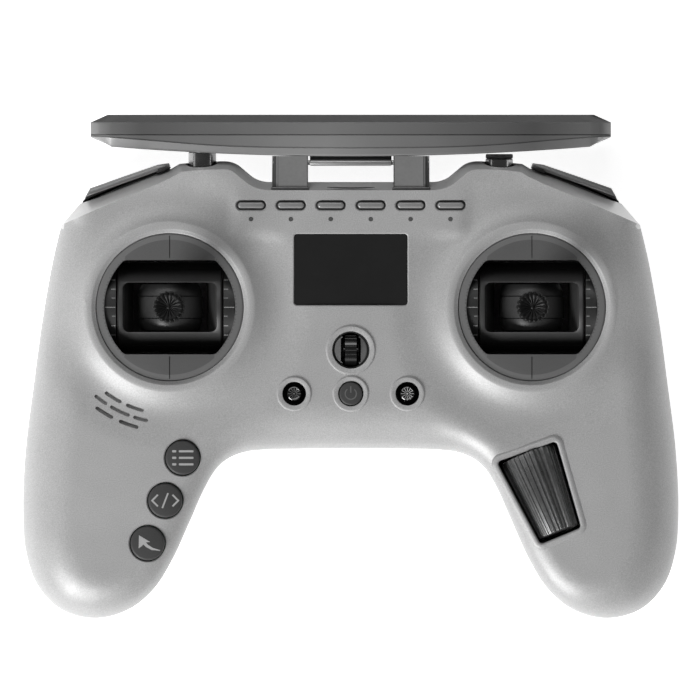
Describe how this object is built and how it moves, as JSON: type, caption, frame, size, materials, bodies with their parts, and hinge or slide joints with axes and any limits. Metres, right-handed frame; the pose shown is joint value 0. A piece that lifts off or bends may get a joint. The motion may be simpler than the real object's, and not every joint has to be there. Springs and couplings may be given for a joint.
{
  "type": "handheld radio transmitter controller",
  "caption": "Gamepad-style radio control transmitter with twin gimbal sticks, screen, scroll wheel, keys, tapered roller knob, shoulder buttons and a folding antenna wing.",
  "frame": {"origin": "centre of the whole object's outline on the plane its back rests on", "axes": "+X to the user's right across the face, +Y towards the antenna, +Z out of the face towards the user"},
  "size_m": [0.1708, 0.1311, 0.062],
  "materials": {
    "shell": "fine sandblasted texture",
    "dark_plastic": "fine matte",
    "faceplate": "smooth satin",
    "gloss_black": "polished",
    "gunmetal": "satin metallic",
    "window": "polished smoked lens",
    "key_rubber": "matte silicone",
    "pill_cap": "satin",
    "light_guide": "translucent",
    "board": "solder mask",
    "component": "moulded",
    "shield": "tinned",
    "steel": "machined",
    "aluminium": "turned",
    "battery_wrap": "heat-shrink film"
  },
  "bodies": {
    "root_body": {"antenna_arm_left": "gunmetal", "antenna_arm_right": "gunmetal", "antenna_hinge_pin": "steel", "battery_pack": "battery_wrap", "display_module": "component", "display_window": "window", "front_shell": "shell", "gimbal_faceplate_left": "faceplate", "gimbal_faceplate_right": "faceplate", "gimbal_frame_left": "dark_plastic", "gimbal_frame_right": "dark_plastic", "gimbal_screws": "steel", "gimbal_sensor_boards": "board", "key_switches": "component", "led_light_guides": "light_guide", "main_board": "board", "rear_shell": "shell", "rf_module": "shield", "roller_frame": "shell", "roller_potentiometer": "component", "scroll_bezel": "pill_cap", "scroll_encoder": "component", "shell_screws": "steel", "side_button_board": "board", "speaker": "component", "toggle_switch_bodies": "component", "top_button_board": "board", "usb_socket": "shield"},
    "pill_1": {"pill_button_1": "pill_cap"},
    "pill_2": {"pill_button_2": "pill_cap"},
    "pill_3": {"pill_button_3": "pill_cap"},
    "pill_4": {"pill_button_4": "pill_cap"},
    "pill_5": {"pill_button_5": "pill_cap"},
    "pill_6": {"pill_button_6": "pill_cap"},
    "menu_button_cap": {"menu_button": "key_rubber"},
    "script_button_cap": {"script_button": "key_rubber"},
    "return_button_cap": {"return_button": "key_rubber"},
    "power_button_cap": {"power_button": "key_rubber"},
    "trim_ball_left": {"trim_ball_left": "steel"},
    "trim_hat_left": {"trim_hat_left": "dark_plastic"},
    "trim_ball_right": {"trim_ball_right": "steel"},
    "trim_hat_right": {"trim_hat_right": "dark_plastic"},
    "scroll_wheel": {"scroll_wheel": "gloss_black"},
    "roller_knob": {"roller_knob": "gloss_black"},
    "pitch_cradle_left": {"gimbal_outer_cradle_left": "dark_plastic"},
    "stick_left": {"gimbal_inner_cradle_left": "dark_plastic", "stick_shaft_left": "steel", "stick_crown_left": "aluminium"},
    "shoulder_left": {"shoulder_button_left": "gloss_black"},
    "toggle_left": {"toggle_lever_left": "steel"},
    "pitch_cradle_right": {"gimbal_outer_cradle_right": "dark_plastic"},
    "stick_right": {"gimbal_inner_cradle_right": "dark_plastic", "stick_shaft_right": "steel", "stick_crown_right": "aluminium"},
    "shoulder_right": {"shoulder_button_right": "gloss_black"},
    "toggle_right": {"toggle_lever_right": "steel"},
    "antenna_wing": {"antenna_housing": "gunmetal", "antenna_cover": "gloss_black", "antenna_board": "board"},
    "battery_door": {"battery_door": "shell"}
  },
  "joints": [
    {"name": "pill_1_press", "type": "slide", "parent": "root_body", "child": "pill_1", "axis": [0, 0, -1], "range_m": [0, 0.0006], "stiffness_N_per_m": 600},
    {"name": "pill_2_press", "type": "slide", "parent": "root_body", "child": "pill_2", "axis": [0, 0, -1], "range_m": [0, 0.0006], "stiffness_N_per_m": 600},
    {"name": "pill_3_press", "type": "slide", "parent": "root_body", "child": "pill_3", "axis": [0, 0, -1], "range_m": [0, 0.0006], "stiffness_N_per_m": 600},
    {"name": "pill_4_press", "type": "slide", "parent": "root_body", "child": "pill_4", "axis": [0, 0, -1], "range_m": [0, 0.0006], "stiffness_N_per_m": 600},
    {"name": "pill_5_press", "type": "slide", "parent": "root_body", "child": "pill_5", "axis": [0, 0, -1], "range_m": [0, 0.0006], "stiffness_N_per_m": 600},
    {"name": "pill_6_press", "type": "slide", "parent": "root_body", "child": "pill_6", "axis": [0, 0, -1], "range_m": [0, 0.0006], "stiffness_N_per_m": 600},
    {"name": "menu_button_cap_press", "type": "slide", "parent": "root_body", "child": "menu_button_cap", "axis": [0, 0, -1], "range_m": [0, 0.0006], "stiffness_N_per_m": 800},
    {"name": "script_button_cap_press", "type": "slide", "parent": "root_body", "child": "script_button_cap", "axis": [0, 0, -1], "range_m": [0, 0.0006], "stiffness_N_per_m": 800},
    {"name": "return_button_cap_press", "type": "slide", "parent": "root_body", "child": "return_button_cap", "axis": [0, 0, -1], "range_m": [0, 0.0006], "stiffness_N_per_m": 800},
    {"name": "power_button_cap_press", "type": "slide", "parent": "root_body", "child": "power_button_cap", "axis": [0, 0, -1], "range_m": [0, 0.0006], "stiffness_N_per_m": 800},
    {"name": "trim_left_tilt_x", "type": "hinge", "parent": "root_body", "child": "trim_ball_left", "pos_m": [-0.0147, -0.00705, 0.033], "axis": [1, 0, 0], "range_deg": [-6, 6], "stiffness_Nm_per_rad": 0.02},
    {"name": "trim_left_tilt_y", "type": "hinge", "parent": "trim_ball_left", "child": "trim_hat_left", "pos_m": [-0.0147, -0.00705, 0.033], "axis": [0, 1, 0], "range_deg": [-6, 6], "stiffness_Nm_per_rad": 0.02},
    {"name": "trim_right_tilt_x", "type": "hinge", "parent": "root_body", "child": "trim_ball_right", "pos_m": [0.0147, -0.00705, 0.033], "axis": [1, 0, 0], "range_deg": [-6, 6], "stiffness_Nm_per_rad": 0.02},
    {"name": "trim_right_tilt_y", "type": "hinge", "parent": "trim_ball_right", "child": "trim_hat_right", "pos_m": [0.0147, -0.00705, 0.033], "axis": [0, 1, 0], "range_deg": [-6, 6], "stiffness_Nm_per_rad": 0.02},
    {"name": "scroll_spin", "type": "hinge", "parent": "root_body", "child": "scroll_wheel", "pos_m": [0, 0.0043, 0.0372], "axis": [1, 0, 0], "continuous": true},
    {"name": "roller_turn", "type": "hinge", "parent": "root_body", "child": "roller_knob", "pos_m": [0.0457, -0.0221, 0.0336], "axis": [0.3721, -0.9219, 0.1078], "range_deg": [-70, 70]},
    {"name": "stick_left_pitch", "type": "hinge", "parent": "root_body", "child": "pitch_cradle_left", "pos_m": [-0.04705, 0.0154, 0.028], "axis": [1, 0, 0], "range_deg": [-25, 25]},
    {"name": "stick_left_roll", "type": "hinge", "parent": "pitch_cradle_left", "child": "stick_left", "pos_m": [-0.04705, 0.0154, 0.028], "axis": [0, 1, 0], "range_deg": [-25, 25], "stiffness_Nm_per_rad": 0.05},
    {"name": "shoulder_left_press", "type": "hinge", "parent": "root_body", "child": "shoulder_left", "pos_m": [-0.049, 0.049, 0.02425], "axis": [0, 0, 1], "range_deg": [0, 3], "stiffness_Nm_per_rad": 0.6},
    {"name": "toggle_left_tilt", "type": "hinge", "parent": "root_body", "child": "toggle_left", "pos_m": [-0.0386, 0.05, 0.0336], "axis": [1, 0, 0], "range_deg": [-10, 10]},
    {"name": "stick_right_pitch", "type": "hinge", "parent": "root_body", "child": "pitch_cradle_right", "pos_m": [0.04705, 0.0154, 0.028], "axis": [1, 0, 0], "range_deg": [-25, 25], "stiffness_Nm_per_rad": 0.05},
    {"name": "stick_right_roll", "type": "hinge", "parent": "pitch_cradle_right", "child": "stick_right", "pos_m": [0.04705, 0.0154, 0.028], "axis": [0, 1, 0], "range_deg": [-25, 25], "stiffness_Nm_per_rad": 0.05},
    {"name": "shoulder_right_press", "type": "hinge", "parent": "root_body", "child": "shoulder_right", "pos_m": [0.049, 0.049, 0.02425], "axis": [0, 0, -1], "range_deg": [0, 3], "stiffness_Nm_per_rad": 0.6},
    {"name": "toggle_right_tilt", "type": "hinge", "parent": "root_body", "child": "toggle_right", "pos_m": [0.0386, 0.05, 0.0336], "axis": [1, 0, 0], "range_deg": [-10, 10], "stiffness_Nm_per_rad": 0.05},
    {"name": "antenna_fold", "type": "hinge", "parent": "root_body", "child": "antenna_wing", "pos_m": [0, 0.053, 0.0382], "axis": [1, 0, 0], "range_deg": [0, 90]},
    {"name": "battery_door_slide", "type": "slide", "parent": "root_body", "child": "battery_door", "axis": [0, -1, 0], "range_m": [0, 0.04]}
  ]
}
